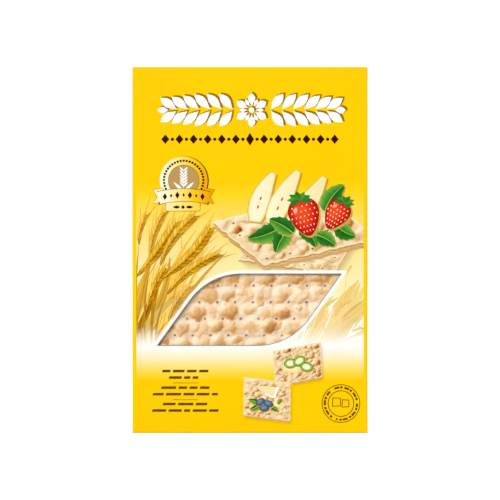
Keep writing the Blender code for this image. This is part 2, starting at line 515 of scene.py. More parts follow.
def dough_at(x, z):
    """Rise over the lowest skin, toast with painted shade, painted crease shade and painted hole shade,
    each 0 to 1.
    """
    bend = noise.noise_vector(Vector((x * 190, z * 190, 5.0))) * 1.6 * MM
    bend += noise.noise_vector(Vector((x * 560, z * 560, 7.0))) * 0.9 * MM
    point = Vector((x + bend.x, z + bend.y))
    row = math.floor((z - dock_row_level) / dock_pitch.y)
    column = math.floor((x - dock_row_slip(row)) / dock_pitch.x)
    crown = 0.0
    toast_and_shade = 0.0
    for near_row in range(row - 1, row + 2):
        for near_column in range(column - 2, column + 3):
            for middle, reach, rise, toast in blisters.get((near_row, near_column), []):
                away = point - middle
                inside = 1 - (away.x / reach.x) ** 2 - (away.y / reach.y) ** 2
                if inside > 0:
                    # lean grows towards the blister's lower right, away from the key light; the toast is
                    # pushed there as painted shade.
                    lean = away.x / reach.x - away.y / reach.y
                    share = toast * smooth_between(lean, -1.0, 0.9) * min(1.0, 2.2 * inside)
                    crown = max(crown, rise * inside**0.75)
                    toast_and_shade = max(toast_and_shade, share)
    place = Vector((x, z))
    hole_distance = min(
        (place - dock_hole(near_row, near_column)).length
        for near_row in (row, row + 1)
        for near_column in range(column - 1, column + 3)
    )
    pinned = bell(hole_distance, pinned_radius)
    # hole also darkens the pit's colour in the material, as painted shade.
    hole = bell(hole_distance, hole_radius)
    rim = bell(hole_distance - hole_rim, hole_rim_width)
    ripple = noise.fractal(Vector((x * 300, z * 300, 1.0)), 0.8, 2.1, 4)
    lump = noise.noise(Vector((x * 430, z * 430, 9.0)))
    level = 0.33 + 0.67 * crown + (0.15 - 0.05 * crown) * ripple + 0.14 * lump
    level += (0.30 - level) * pinned * 0.9 + 0.13 * rim - 0.30 * hole
    near_rim = 1 - smooth_between(window_rim.find((x, z, 0.0))[2], 0.0, rim_rise_width)
    level += (0.93 - level) * 0.8 * near_rim
    # Painted shade: the skin between blisters, away from any crown, is marked to be darkened.
    crease_shade = 1 - smooth_between(crown, 0.02, 0.35)
    return min(max(level, 0.0), 1.0), toast_and_shade * (1 - pinned), crease_shade, hole


behind_board = 2 * MM
fine_side = window_edge / 2 + window_lean * window_height / 2 + behind_board
fine_half = window_height / 2 + behind_board
columns = spread(-sheet_width / 2, -fine_side, fine_side, sheet_width / 2)
rows = spread(
    sheet_middle.z - sheet_height / 2,
    window_middle.y - fine_half,
    window_middle.y + fine_half,
    sheet_middle.z + sheet_height / 2,
)
dough = bmesh.new()
toast_shade_layer = dough.verts.layers.float.new("toast_and_shade")
crease_shade_layer = dough.verts.layers.float.new("crease_shade")
hole_shade = dough.verts.layers.float.new("hole")
bmesh.ops.create_grid(dough, x_segments=len(columns) - 1, y_segments=len(rows) - 1, size=0.5)
for vert in dough.verts:
    x = columns[round((vert.co.x + 0.5) * (len(columns) - 1))]
    z = rows[round((vert.co.y + 0.5) * (len(rows) - 1))]
    level, vert[toast_shade_layer], vert[crease_shade_layer], vert[hole_shade] = dough_at(x, z)
    vert.co = (x, sheet_low.y + sheet_relief * (1 - level), z)
made = bmesh.ops.extrude_edge_only(dough, edges=free_edges(dough))["geom"]
for vert in of_kind(made, bmesh.types.BMVert):
    vert.co.y = sheet_high.y
bmesh.ops.holes_fill(dough, edges=free_edges(dough), sides=0)
bmesh.ops.recalc_face_normals(dough, faces=dough.faces)
for face in dough.faces:
    face.smooth = abs(face.normal.y) < 0.999 and len(face.verts) == 4


def add_attribute(tree, name):
    node = tree.nodes.new("ShaderNodeAttribute")
    node.attribute_name = name
    return node.outputs["Fac"]


baked_dough, tree, shader = new_material("baked_dough", 0.78)
shader.inputs["Specular IOR Level"].default_value = 0.25
toast_shade_stops = [
    (0.0, 255, 238, 211),
    (0.25, 250, 216, 171),
    (0.55, 236, 188, 127),
    (0.8, 214, 157, 91),
    (1.0, 184, 119, 57),
]
uneven = add_math(tree, "MULTIPLY_ADD", add_noise(tree, 520.0, 5.0, 0.65), 0.30, -0.15)
# The toast ramp also carries the painted shade on each blister's lower right.
toast_and_shade = add_math(tree, "ADD", add_attribute(tree, "toast_and_shade"), uneven, clamp=True)
crust = add_ramp(tree, toast_and_shade, toast_shade_stops)
# Painted shade: the creases between blisters are darkened.
crease_shade_share = add_math(tree, "MULTIPLY", add_attribute(tree, "crease_shade"), 0.7)
crust = add_mix(tree, crease_shade_share, crust, display(228, 193, 162))
# Painted shade: the docking holes are darkened to dark brown.
crust = add_mix(tree, add_attribute(tree, "hole"), crust, display(52, 26, 10))
tree.links.new(crust, shader.inputs["Base Color"])
add_bump(tree, shader, add_noise(tree, 1500.0, 5.0, 0.6), 0.06 * MM, 0.6)
matzo = add_piece("matzo", dough, [baked_dough])
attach(matzo, "root")
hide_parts("matzo_sheet")


# Heading ornament. A white garland of two wheat ears about a rosette, and a line of brown
# lozenges below it. All the print is offset ink under varnish. Each shape is a thin wafer of
# ink, laid a hair above the ones that it may cover.
ink_thickness = 0.01 * MM
ink_step = 0.0004 * MM
ink_sunk = 0.15 * MM
ink_tops = {}


def start_print(bare_panel=False):
    """An empty layer of print. Each point has a tone, which picks the ink's colour, and a
    cover, which is 0 where the ground shows through and 1 under full ink."""
    if bare_panel:
        ink_tops.clear()
    layer = bmesh.new()
    layer.verts.layers.float.new("tone")
    layer.verts.layers.float.new("cover")
    return layer


def next_height(*patches):
    """How far a new shape stands proud, over all that was laid in its square millimetres."""
    squares = set()
    for patch in patches:
        columns = [math.floor(point[0]) for point in patch]
        rows = [math.floor(point[1]) for point in patch]
        for column in range(min(columns), max(columns) + 1):
            squares.update((column, row) for row in range(min(rows), max(rows) + 1))
    top = 1 + max(ink_tops.get(square, 0) for square in squares)
    ink_tops.update(dict.fromkeys(squares, top))
    return ink_thickness + top * ink_step


def ink_points(layer, points, tone, cover, out):
    """Points of print, given in millimetres; tone and cover are numbers or functions."""
    tones = layer.verts.layers.float["tone"]
    covers = layer.verts.layers.float["cover"]
    verts = []
    for point in points:
        vert = layer.verts.new((point[0] * MM, -out, point[1] * MM))
        vert[tones] = tone(point) if callable(tone) else tone
        vert[covers] = cover(point) if callable(cover) else cover
        verts.append(vert)
    return verts


def ink_face(layer, verts, colour):
    face = layer.faces.new(verts)
    face.material_index = colour
    face.normal_update()
    if face.normal.y > 0:
        face.normal_flip()


def ink(layer, outline, tone=0.0, cover=1.0, colour=0):
    """Prints the inside of an outline; colour is the ink's place in the layer's list."""
    ink_face(layer, ink_points(layer, outline, tone, cover, next_height(outline)), colour)


def ink_band(layer, first, second, tones=(0.0, 0.0), covers=(1.0, 1.0), colour=0, closed=True):
    """Prints the band between two lines of as many points, blending from one to the other."""
    if closed:
        first = [*first, first[0]]
        second = [*second, second[0]]
    out = next_height(*zip(first, first[1:], second[1:], second))
    near = ink_points(layer, first[: len(first) - closed], tones[0], covers[0], out)
    far = ink_points(layer, second[: len(second) - closed], tones[1], covers[1], out)
    if closed:
        near.append(near[0])
        far.append(far[0])
    for corners in zip(near, near[1:], far[1:], far):
        ink_face(layer, corners, colour)


def left_of(along):
    """The direction that lies square to the left of a direction."""
    return Vector((-along.y, along.x)).normalized()


def beside(path, offsets):
    """The path moved to its left by an offset for each point."""
    triples = zip(path[:1] + path, path, path[1:] + path[-1:], offsets)
    return [point + left_of(after - before) * offset for before, point, after, offset in triples]


def ink_stroke(layer, path, widths, tone=0.0, cover=1.0, colour=0):
    """Prints a line along a path; widths holds the width at each point, or one for all."""
    path = [Vector(point) for point in path]
    if not isinstance(widths, list):
        widths = [widths] * len(path)
    left, right = (beside(path, [side * wide / 2 for wide in widths]) for side in (1, -1))
    ink_band(layer, left, right, (tone, tone), (cover, cover), colour, closed=False)


def grown(outline, by):
    """The outline moved outwards by the same distance all round."""
    triples = list(zip(outline[-1:] + outline[:-1], outline, outline[1:] + outline[:1]))
    area = sum(point.cross(after) for before, point, after in triples)
    outward = -by * math.copysign(1, area)
    return [point + left_of(after - before) * outward for before, point, after in triples]


def oval(centre, half_wide, half_tall, turn=0.0, sides=32):
    """The outline of an ellipse; turn is in degrees, anticlockwise."""
    tilt = Matrix.Rotation(math.radians(turn), 2)
    angles = [math.tau * side / sides for side in range(sides)]
    return [
        Vector(centre) + tilt @ Vector((math.cos(angle) * half_wide, math.sin(angle) * half_tall))
        for angle in angles
    ]


def leaf(base, tip, wide, swell=0.45, steps=6):
    """The outline of a pointed leaf or kernel; swell is how far along it is widest."""
    base, tip = Vector(base), Vector(tip)
    shares = [step / steps for step in range(1, steps)]
    stretch = math.log(0.5) / math.log(swell)
    bulges = [wide / 2 * math.sin(math.pi * share**stretch) for share in shares]
    rib = [base.lerp(tip, share) for share in shares]
    aside = left_of(tip - base)
    right, left = (
        [point + aside * side * bulge for point, bulge in zip(rib, bulges)] for side in (-1, 1)
    )
    return [base, *right, tip, *reversed(left)]


def arc(start, end, bow, steps=8):
    """A path from start to end that bows out sideways by bow."""
    start, end = Vector(start), Vector(end)
    aside = left_of(end - start) * bow * 4
    shares = [step / steps for step in range(steps + 1)]
    return [start.lerp(end, share) + aside * share * (1 - share) for share in shares]


def back_panel(point, out=0.0):
    return Vector((-point[0], half_depth + out, point[1]))


def right_panel(point, out=0.0):
    return Vector((half_width + out, point[0], point[1]))


def left_panel(point, out=0.0):
    return Vector((-half_width - out, -point[0], point[1]))


def lay_print(layer, name, materials, panel=front_panel):
    """Gives a layer of print its thickness and fixes it to a panel of the carton."""
    bmesh.ops.solidify(layer, geom=layer.faces[:], thickness=ink_sunk)
    for vert in layer.verts:
        vert.co = panel(vert.co.xz, -vert.co.y)
    layer.normal_update()
    piece = add_piece(name, layer, materials)
    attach(piece, "root")


def new_ink(name, stops, ground=panel_colour, mottling=0.0, mottle_scale=700.0):
    """Ink whose tone runs through the stops, and which fades into the ground with cover."""
    material, tree, shader = new_material(name, 0.45)
    tone = add_attribute(tree, "tone")
    if mottling:
        mottle = add_noise(tree, mottle_scale, 4.0, 0.6)
        uneven = add_math(tree, "MULTIPLY_ADD", mottle, 2 * mottling, -mottling)
        tone = add_math(tree, "ADD", tone, uneven, clamp=True)
    colour = add_ramp(tree, tone, stops)
    colour = add_mix(tree, add_attribute(tree, "cover"), ground(tree), colour)
    tree.links.new(colour, shader.inputs["Base Color"])
    satin_varnish(tree, shader)
    return material


def plain_ink(name, red, green, blue, ground=panel_colour):
    """Ink of one colour; its cover still fades it."""
    return new_ink(name, [(place, red, green, blue) for place in (0.0, 1.0)], ground)


white_ink = plain_ink("white_ink", 255, 254, 250)
brown_ink = plain_ink("brown_ink", 55, 14, 0)
shadow_ink = plain_ink("shadow_ink", 128, 84, 0)
heading = Vector((0.7, 144.2))
shadow_slip = Vector((0.75, 0.5))
shadow_blur = 0.45
kernel_pitch = 5.0

garland = [oval(heading, 1.2, 1.2, sides=16)]
for petal in range(12):
    turn = Matrix.Rotation(math.tau * petal / 12, 2)
    reach, wide = ((7.6, 3.4), (5.4, 1.7))[petal % 2]
    foot = heading + turn @ Vector((0, 1.9))
    garland.append(leaf(foot, heading + turn @ Vector((0, reach)), wide, 0.6))
for side in (-1, 1):
    for pair in range(6):
        foot = heading + Vector((side * (8.6 + pair * kernel_pitch), 0))
        lean = math.radians(52 - 3 * pair)
        reach = 9.8 - 0.3 * abs(pair - 2)
        for rise in (-1, 1):
            tip = foot + Vector((side * math.cos(lean), rise * math.sin(lean))) * reach
            garland.append(leaf(foot + Vector((0, rise * 0.5)), tip, 4.0, 0.55))
    foot = heading + Vector((side * (7.2 + 6 * kernel_pitch), 0))
    garland.append(leaf(foot, foot + Vector((side * 4.9, 0)), 3.0, 0.55))
layer = start_print()
shadows = [[point + shadow_slip for point in outline] for outline in garland]
for outline in shadows:
    ink_band(layer, outline, grown(outline, shadow_blur), covers=(0.9, 0.0), colour=1)
for outline in shadows:
    ink(layer, outline, cover=0.9, colour=1)
for outline in garland:
    ink(layer, outline)
lay_print(layer, "heading_ornament", [white_ink, shadow_ink])

rule_level = 131.2
rule_pitch = 6.3
layer = start_print()
for place in range(-6, 7):
    middle = Vector((place * rule_pitch, rule_level))
    tall = 2.9 if place == 0 else 2.1
    ink(layer, [middle + Vector(corner) for corner in ((-1.8, 0), (0, -tall), (1.8, 0), (0, tall))])
    if place < 6:
        ink(layer, oval(middle + Vector((rule_pitch / 2, 0)), 0.75, 0.75, sides=12))
lay_print(layer, "heading_rule", [brown_ink])


# Wheat. Ripe ears, stalks and blades on both sides of the window, paler on the right, and
# fading into the white at their feet. The window's border cuts across them.
wheat_stops = [
    (0.0, 118, 70, 0),
    (0.25, 180, 124, 4),
    (0.5, 220, 162, 18),
    (0.75, 244, 190, 50),
    (1.0, 254, 222, 120),
]
wheat_ink = new_ink("wheat_ink", wheat_stops, mottling=0.12)
straw_stops = [(0.0, 168, 114, 14), (0.5, 224, 176, 62), (1.0, 246, 208, 106)]
straw_ink = new_ink("straw_ink", straw_stops, mottling=0.08)
green_ink = plain_ink("blade_green", 205, 198, 92)
olive_ink = plain_ink("blade_olive", 206, 174, 72)
growing = random.Random(5)
faded_out = 38.0


def trim(layer, side):
    """Cuts away the print that runs over the plain strip at the panel's side, 1 or -1."""
    everything = layer.verts[:] + layer.edges[:] + layer.faces[:]
    edge = Vector((side * (half_width - side_strip), 0, 0))
    bmesh.ops.bisect_plane(layer, geom=everything, plane_co=edge, plane_no=(side, 0, 0), clear_outer=True)


def clear_window(layer):
    """Cuts the print away at the window, just inside its border."""
    outline = window_outline(0.6 * MM, steps=5)
    sides = list(zip(outline, outline[1:] + outline[:1]))

    def over_window(point):
        return all((end - start).cross(point.xz - start) > 0 for start, end in sides)

    faces = [face for face in layer.faces if any(over_window(vert.co) for vert in face.verts)]
    geometry = list({item for face in faces for item in (*face.verts, *face.edges, face)})
    for start, end in sides:
        outward = Vector(((end - start).y, 0, -(end - start).x))
        cut = bmesh.ops.bisect_plane(
            layer, geom=geometry, plane_co=(start.x, 0, start.y), plane_no=outward, dist=0.001 * MM
        )
        geometry = cut["geom"]
    inside = [face for face in layer.faces if over_window(face.calc_center_median())]
    bmesh.ops.delete(layer, geom=inside, context="FACES")


def rising_cover(strength, low, high):
    """Cover that grows with height from nothing at low to its full strength at high."""
    return lambda point: strength * smooth_between(point[1], low, high)


def ear(layer, foot, tip, bow, wide, strength):
    """A wheat ear with its stalk's end at foot: kernels in pairs up a dark spine, and awns."""
    cover = rising_cover(strength, faded_out, faded_out + 12)
    pairs = round((Vector(tip) - Vector(foot)).length / 2.3)
    spine = arc(foot, tip, bow, pairs)
    swell = [wide * math.sin(math.pi * (0.02 + 0.86 * k / pairs)) ** 0.6 for k in range(pairs + 1)]
    ink_stroke(layer, spine, [w * 0.8 for w in swell], 0.05, cover)
    for k in reversed(range(pairs)):
        along = (spine[k + 1] - spine[k]).normalized()
        aside = left_of(along)
        for side, tone in ((1, 0.56), (-1, 0.24)):
            base = spine[k] + aside * side * swell[k] * 0.06
            point = spine[k] + along * 4.4 + aside * side * swell[k] * 0.54
            tone += growing.uniform(-0.12, 0.14)
            if k % 2 and k > 1:
                beyond = point + along * growing.uniform(5, 9) + aside * side * growing.uniform(0.6, 1.8)
                ink_stroke(layer, [point, beyond], [0.28, 0.1], 0.45, cover)
            ink(layer, leaf(base, point, swell[k] * 0.46, 0.4), tone, cover)
            glint = leaf(base.lerp(point, 0.2), base.lerp(point, 0.85), swell[k] * 0.14)
            ink(layer, glint, tone + 0.3, cover)


def blade(layer, foot, tip, bow, wide, tone, strength, colour=0):
    """A long leaf or stalk that tapers to its tip and fades at its foot."""
    cover = rising_cover(strength, faded_out - 0.5, faded_out + 10.5)
    path = arc(foot, tip, bow, 12)
    widths = [wide * math.sin(math.pi * (0.16 + 0.8 * k / 12)) for k in range(13)]
    ink_stroke(layer, path, widths, tone, cover, colour)
    if wide > 1.8:
        ink_stroke(layer, path, [w * 0.16 for w in widths], tone - 0.22, cover, colour)


layer = start_print()
for k in range(50):
    across = growing.uniform(-50.5, -30)
    lean = growing.uniform(0.0, 26.0) * (0.4 + (across + 51) / 22)
    foot = (across - 3, growing.uniform(38, 46))
    tip = (across + lean, foot[1] + growing.uniform(18, 46))
    broad = growing.uniform(0.8, 3.6)
    tone = growing.choice((0.46, 0.66, 0.82, 0.96, 1.0))
    blade(layer, foot, tip, growing.uniform(-3, 5), broad, tone, 0.94)
blade(layer, (-53, 40), (-40, 68.5), -0.5, 3.0, 0.2, 1.0)
blade(layer, (-50, 39), (-30.5, 62), 2.5, 3.4, 0.0, 0.9, colour=1)
for foot, tip, bow, wide, strength in [
    ((-49.5, 84), (-46.2, 97.5), 1, 2.6, 0.95),
    ((-44.5, 74), (-38.2, 98.5), 2, 3.0, 0.95),
    ((-46.5, 54), (-37.5, 73.5), 1, 3.4, 1.0),
    ((-50.5, 70), (-33.0, 94.0), -1, 4.6, 1.0),
    ((-40.0, 75), (-24.5, 97.0), 2, 4.0, 0.95),
    ((-39.5, 69), (-17.5, 91.5), -2, 4.6, 1.0),
    ((-36.5, 50), (-27.0, 65.5), 1, 3.4, 0.9),
    ((-37.0, 62), (-13.8, 80.0), 2, 3.8, 1.0),
]:
    blade(layer, (foot[0] * 0.55 - 22, faded_out), foot, 1.5, 0.9, 0.3, 1.0)
    ear(layer, foot, tip, bow, wide, strength)
trim(layer, -1)
clear_window(layer)
lay_print(layer, "wheat_left", [wheat_ink, olive_ink])

layer = start_print()
for k in range(90):
    across = growing.uniform(19, 47)
    foot = (across, growing.uniform(38, 43) + max(0, across - 36) * 0.3)
    tip = (across + growing.uniform(6, 20), foot[1] + growing.uniform(8, 26))
    colour = growing.choice((0, 0, 0, 0, 0, 1, 2, 2))
    broad = growing.uniform(0.4, 1.3) if colour else growing.uniform(1.2, 3.6)
    blade(layer, foot, tip, growing.uniform(-3, 3), broad, growing.uniform(0.6, 1.0), 0.66, colour)
for foot, tip, bow, wide in [
    ((38, 52), (48.5, 68.0), 1, 3.2),
    ((41, 50), (52, 59.5), -1, 3.0),
    ((29, 47), (37.5, 61.5), 1, 1.6),
    ((44.5, 76), (52, 92.0), 2, 3.0),
    ((37.5, 70), (45.5, 75.0), -1, 2.6),
]:
    blade(layer, (foot[0] - 5, faded_out), foot, 0.8, 0.5, 0.75, 0.6)
    blade(layer, foot, tip, bow, wide, 0.8, 0.8)
for foot, tip, wide, tone, colour in [
    ((32.5, 55.5), (39.5, 60.5), 1.3, 0.0, 1),
    ((44.0, 49.0), (49.0, 51.2), 1.3, 0.0, 1),
    ((45.5, 45.5), (51.5, 47.0), 1.2, 0.0, 1),
    ((41.5, 51.6), (51.5, 59.8), 1.3, 0.4, 0),
    ((40.5, 56.0), (45.5, 59.2), 1.5, 0.55, 0),
]:
    blade(layer, foot, tip, 0.3, wide, tone, 0.8, colour)
trim(layer, 1)
clear_window(layer)
lay_print(layer, "wheat_right", [straw_ink, green_ink, white_ink])


# Seal. A gold medallion with a tan centre and a white ear, a ribbon folded round its foot, and
# a small tag that hangs below the ribbon.
seal_middle = Vector((-29.6, 112.8))
gold_stops = [(0.0, 255, 246, 214), (0.3, 253, 230, 130), (0.6, 250, 206, 30), (1.0, 240, 160, 0)]
seal_gold = new_ink("seal_gold", gold_stops)
seal_tan = plain_ink("seal_tan", 190, 152, 90)


def seal_sheen(point):
    """The gold runs from cream at the left to orange at the right."""
    return (point[0] + 38) / 20


def on_seal(points):
    return [seal_middle + Vector(point) for point in points]


layer = start_print()
ink(layer, oval(seal_middle + Vector((0.3, -0.1)), 10.9, 10.9, sides=64), colour=1)
ink(layer, oval(seal_middle, 10.7, 10.7, sides=64), seal_sheen)
for bead in range(27):
    place = Matrix.Rotation(math.radians(205 - 230 * bead / 26), 2) @ Vector((8.8, 0))
    ink(layer, oval(seal_middle + place, 0.55, 0.55, sides=10), colour=1)
ink(layer, oval(seal_middle, 6.95, 6.95, sides=48), colour=1)
ink(layer, oval(seal_middle, 6.8, 6.8, sides=48), colour=2)
ink_stroke(layer, on_seal([(0, -6), (0, 3)]), 0.3, colour=3)
for pair in range(6):
    for side in (-1, 1):
        foot = Vector((0, -2.6 + 1.35 * pair))
        ink(layer, leaf(*on_seal([foot, foot + Vector((side * 1.8, 1.9))]), 0.85), colour=3)
tail_corners = ((9.2, -9.4), (13.6, -10.4), (11.8, -7.4), (13.8, -4.2), (9.2, -3.4))
for side in (-1, 1):
    ink(layer, leaf(*on_seal([(0, -5.2), (side * 4.6, -0.6)]), 1.3), colour=3)
    tail = on_seal([(side * u, v) for u, v in tail_corners])
    ink(layer, grown(tail, 0.2), colour=1)
    ink(layer, tail, lambda point: 0.3 + 0.7 * seal_sheen(point))
    ink(layer, on_seal([(side * 9.2, -10.4), (side * 11.2, -10.9), (side * 11.1, -9.4)]), colour=1)
tag = rounded_outline(rectangle(-37.5, 99.2, -22.3, 104.6), [0.7, 0.7, 0.2, 0.2], 6)
ink(layer, grown(tag, 0.15), colour=1)
ink(layer, tag, lambda point: 0.15 + 0.5 * seal_sheen(point))
ribbon_path = arc(*on_seal([(-11.2, -7.8), (11.2, -7.8)]), 1.3, 24)
ink_stroke(layer, ribbon_path, 5.9, colour=1)
ink_stroke(layer, ribbon_path, 5.5, seal_sheen)
for place in range(3, 22, 3):
    tall = 1.6 if place % 2 else 0.9
    lozenge = ((-tall * 0.62, 0), (0, -tall), (tall * 0.62, 0), (0, tall))
    ink(layer, [ribbon_path[place] + Vector(corner) for corner in lozenge], colour=1)
tag_mark = Vector((-29.9, 100.9))
ink(layer, oval(tag_mark, 0.75, 0.75, sides=10), colour=1)
for side in (-1, 1):
    sprig = leaf(tag_mark + Vector((side * 1.3, 0)), tag_mark + Vector((side * 4.6, 0)), 1.3)
    ink(layer, sprig, colour=1)
lay_print(layer, "seal", [seal_gold, brown_ink, seal_tan, white_ink])


# Serving picture. Two crisp sheets under pear slices, mint and strawberries, printed above the
# window; its right side runs to the plain strip, and the window's border cuts its lower edge.
crust_stops = [
    (0.0, 96, 46, 12),
    (0.15, 186, 96, 28),
    (0.3, 204, 146, 78),
    (0.5, 224, 190, 138),
    (0.64, 242, 214, 166),
    (1.0, 255, 243, 214),
]
red_stops = [(0.0, 128, 12, 6), (0.5, 222, 30, 16), (0.85, 246, 92, 44), (1.0, 255, 196, 160)]
cream_stops = [(0.0, 206, 160, 62), (0.4, 244, 218, 128), (1.0, 255, 248, 214)]
green_stops = [(0.0, 12, 62, 20), (0.5, 48, 136, 38), (1.0, 166, 206, 84)]
blue_stops = [(0.0, 28, 38, 60), (1.0, 112, 146, 182)]
food_inks = [
    new_ink("crust_ink", crust_stops, mottling=0.08, mottle_scale=900.0),
    new_ink("red_ink", red_stops, mottling=0.06),
    new_ink("cream_ink", cream_stops, mottling=0.10),
    new_ink("green_ink", green_stops, mottling=0.12),
    new_ink("blue_ink", blue_stops),
    shadow_ink,
    white_ink,
]
CRUST, RED, CREAM, GREEN, BLUE, SHADE, WHITE = range(len(food_inks))
plating = random.Random(8)
cracker_cell = 0.42


def ink_shadow(layer, outline, slip, blur, strength):
    """A soft shadow under an outline, slipped by slip."""
    core = [point + Vector(slip) for point in grown(outline, -blur / 2)]
    ink_band(layer, core, grown(core, blur), covers=(strength, 0.0), colour=SHADE)
    ink(layer, core, cover=strength, colour=SHADE)


def ink_shade(layer, outline, slip):
    """The close shadow of a topping on a toasted sheet."""
    ink(layer, [point + Vector(slip) for point in outline], 0.1, 0.6, colour=CRUST)


def ink_round(layer, outline, tones, colour, lift=0.25):
    """A rounded form: from its rim, tone passes through tones to a patch at the upper left."""
    middle = sum(outline, Vector((0, 0))) / len(outline)
    reach = max((point - middle).length for point in outline)
    rings = []
    for share in (1.0, 0.72, 0.3):
        slip = Vector((-1, 1)) * reach * lift * (1 - share)
        rings.append([middle + (point - middle) * share + slip for point in outline])
    for first, second, pair in zip(rings, rings[1:], zip(tones, tones[1:])):
        ink_band(layer, first, second, pair, colour=colour)
    ink(layer, rings[-1], tones[-1], colour=colour)


def wavy(corners, wobble, steps=9):
    """An outline through the corners whose sides waver like a broken edge."""
    corners = [Vector(corner) for corner in corners]
    outline = []
    for start, end in zip(corners, corners[1:] + corners[:1]):
        for step in range(steps):
            sway = Vector((plating.uniform(-1, 1), plating.uniform(-1, 1))) * wobble
            outline.append(start.lerp(end, step / steps) + sway)
    return outline


def noise_at(point, scale, seed):
    return Vector((point.x / scale, point.y / scale, seed))


def cracker(layer, middle, wide, tall, turn, skew, holes, browned, shadow=True):
    """A docked sheet seen at a slant: its puffs are lit from the upper left and toasted at
    the lower right, and its broken edge and its shadow show below it."""
    tilt = Matrix.Rotation(math.radians(turn), 2)
    size = wide / 36
    puff_squash = 0.62

    def on_sheet(across, up):
        place = Vector(middle) + tilt @ Vector((across * wide / 2 + skew * up, up * tall / 2))
        return place + noise.noise_vector(noise_at(place, 1.9 * size, 4.0)).xy * 0.55 * size

    puffs = []
    across_count = round(wide / (4.4 * size))
    up_count = round(tall / (3.0 * size))
    for row in range(up_count):
        for column in range(across_count):
            place = on_sheet(
                -0.95 + 1.9 * (column + plating.uniform(0.0, 1.0)) / across_count,
                -0.95 + 1.9 * (row + plating.uniform(0.0, 1.0)) / up_count,
            )
            toast = plating.uniform(0.5, 1.0) if plating.random() < browned else plating.uniform(0.0, 0.3)
            puffs.append((place, plating.uniform(1.7, 3.6) * size, toast))

    def crust_tone(point, from_edge):
        point = point + noise.noise_vector(noise_at(point, 2.0 * size, 6.0)).xy * 0.9 * size
        crown = 0.0
        lit = 0.0
        toast_and_shade = 0.0
        for place, reach, toast in puffs:
            away = (point - place) @ tilt / reach
            away.y /= puff_squash
            inside = 1 - away.length_squared
            if inside > 0:
                lean = (away.x - away.y) * 0.7
                if inside > crown:
                    crown = inside
                    lit = -lean * min(1.0, 2.5 * inside)
                toast_and_shade = max(toast_and_shade, toast * smooth_between(lean, -0.7, 0.4) * min(1.0, 2.0 * inside))
        ripple = noise.fractal(noise_at(point, 1.3 * size, 8.0), 0.8, 2.1, 4)
        tone = 0.60 + 0.20 * crown + 0.30 * lit + 0.10 * ripple - (0.40 + 0.16 * browned) * toast_and_shade
        return tone + (0.95 - tone) * 0.7 * (1 - smooth_between(from_edge, 0.0, 0.9 * size))

    columns = round(wide / cracker_cell)
    rows = round(tall / cracker_cell)
    shares = [
        [(2 * column / columns - 1, 2 * row / rows - 1) for column in range(columns + 1)]
        for row in range(rows + 1)
    ]
    points = [[on_sheet(*share) for share in line] for line in shares]
    outline = points[0] + [line[-1] for line in points[1:-1]]
    outline += points[-1][::-1] + [line[0] for line in points[-2:0:-1]]
    if shadow:
        corners = [on_sheet(-1, -1), on_sheet(1, -1), on_sheet(1, 1), on_sheet(-1, 1)]
        rounded = rounded_outline(corners, [2.4 * size] * 4, 6)
        ink_shadow(layer, rounded, Vector((1.0, -2.0)) * size, 3.4 * size, 0.5)
    else:
        ink_shade(layer, outline, Vector((0.4, -1.7)) * size)
    for fall, tone in ((1.15, 0.46), (0.6, 0.29)):
        uneven = [0.75 + 0.6 * noise.noise(noise_at(point, 2.4 * size, fall)) for point in outline]
        edge = [point + Vector((0.15, -1)) * fall * size * u for point, u in zip(outline, uneven)]
        ink(layer, edge, tone, colour=CRUST)

    out = next_height(outline)
    verts = []
    for line, line_shares in zip(points, shares):
        verts.append([])
        for point, (across, up) in zip(line, line_shares):
            from_edge = min((1 - abs(across)) * wide / 2, (1 - abs(up)) * tall / 2)
            verts[-1] += ink_points(layer, [point], crust_tone(point, from_edge), 1.0, out)
    for low, high in zip(verts, verts[1:]):
        for corners in zip(low, low[1:], high[1:], high):
            ink_face(layer, corners, CRUST)
    for row in range(holes):
        for column in range(holes + 1):
            across = -0.84 + 1.68 * (column + 0.3 * (row % 2)) / (holes + 0.3)
            place = on_sheet(across, -0.8 + 1.6 * row / (holes - 1))
            ink(layer, oval(place, 0.34 * size, 0.24 * size, turn, 8), 0.03, colour=CRUST)


def mint_leaf(layer, base, tip, wide, bow):
    """A toothed leaf in two halves, the upper one lit, with a pale rib."""
    path = arc(base, tip, bow, 12)
    bulges = [
        wide / 2 * math.sin(math.pi * (step / 12) ** 0.8) * (1.0, 0.86)[step % 2] for step in range(13)
    ]
    upper, lower = (beside(path, [side * bulge for bulge in bulges])[1:-1] for side in (1, -1))
    ink_shade(layer, [*upper, *reversed(lower)], (0.4, -0.5))
    for edge, tone in ((upper, 0.62), (lower, 0.3)):
        ink_band(layer, path[1:-1], edge, (tone - 0.2, tone + 0.12), colour=GREEN, closed=False)
    ink_stroke(layer, path, [0.5 - 0.03 * step for step in range(13)], 0.95, colour=GREEN)


